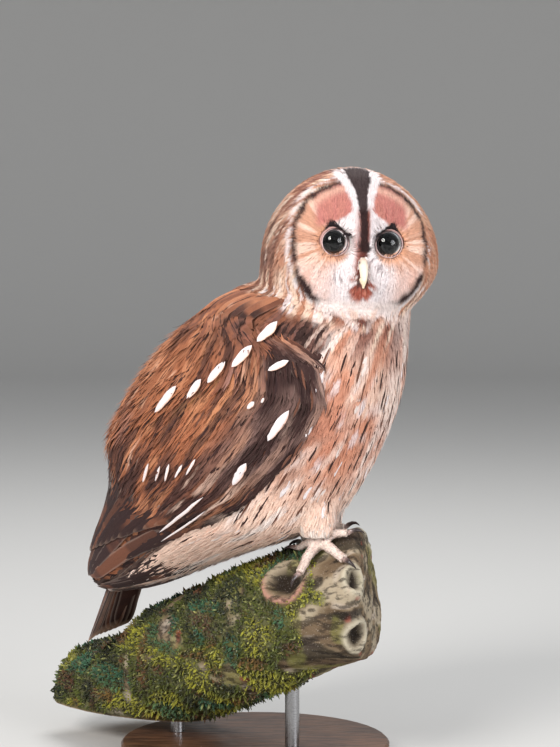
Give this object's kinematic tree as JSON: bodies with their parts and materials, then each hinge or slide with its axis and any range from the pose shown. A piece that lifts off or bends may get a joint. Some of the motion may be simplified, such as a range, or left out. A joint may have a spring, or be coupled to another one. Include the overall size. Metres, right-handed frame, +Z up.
{
  "type": "tawny owl model on a perch",
  "caption": "Life-size still model of a tawny owl standing on a short mossy branch, held by a flat round base and short rods.",
  "frame": {"origin": "centre of the stand base's flat underside, on the surface it stands on", "axes": "+Z up; the owl's face looks towards -Y and a little +X; the branch's cut end points towards +X; the bird's body heads 30 degrees from +X towards -Y"},
  "size_m": [0.2733, 0.2477, 0.4159],
  "materials": {
    "plumage": "soft matte feathers, rufous brown with dark streaks and pale marks",
    "pale_plumage": "soft matte feathers, cream and salmon with dark shaft streaks",
    "flight_feathers": "smooth matte vanes, dark brown with buff bars and edges",
    "eye": "glossy, very dark brown iris with black pupil",
    "bill": "satin horn, pale cream",
    "toe_skin": "matte pinkish cream skin with small scales",
    "claw": "smooth horn, pale at the root and dark at the tip",
    "bark": "rough grey-brown bark with green moss",
    "stand_wood": "satin dark stained wood",
    "stand_steel": "brushed steel"
  },
  "bodies": {
    "root": {"head": "plumage", "neck": "plumage", "trunk": "pale_plumage", "leg_left": "pale_plumage", "leg_right": "pale_plumage", "wing_left": "flight_feathers", "wing_right": "flight_feathers", "tail": "flight_feathers", "eye_left": "eye", "eye_right": "eye", "bill_upper": "bill", "bill_lower": "bill", "foot_left": "toe_skin", "foot_right": "toe_skin", "claw_left_1": "claw", "claw_left_2": "claw", "claw_left_3": "claw", "claw_left_4": "claw", "claw_right_1": "claw", "claw_right_2": "claw", "claw_right_3": "claw", "claw_right_4": "claw", "perch_log": "bark", "stand_base": "stand_wood", "stand_rod_1": "stand_steel", "stand_rod_2": "stand_steel"}
  },
  "joints": []
}
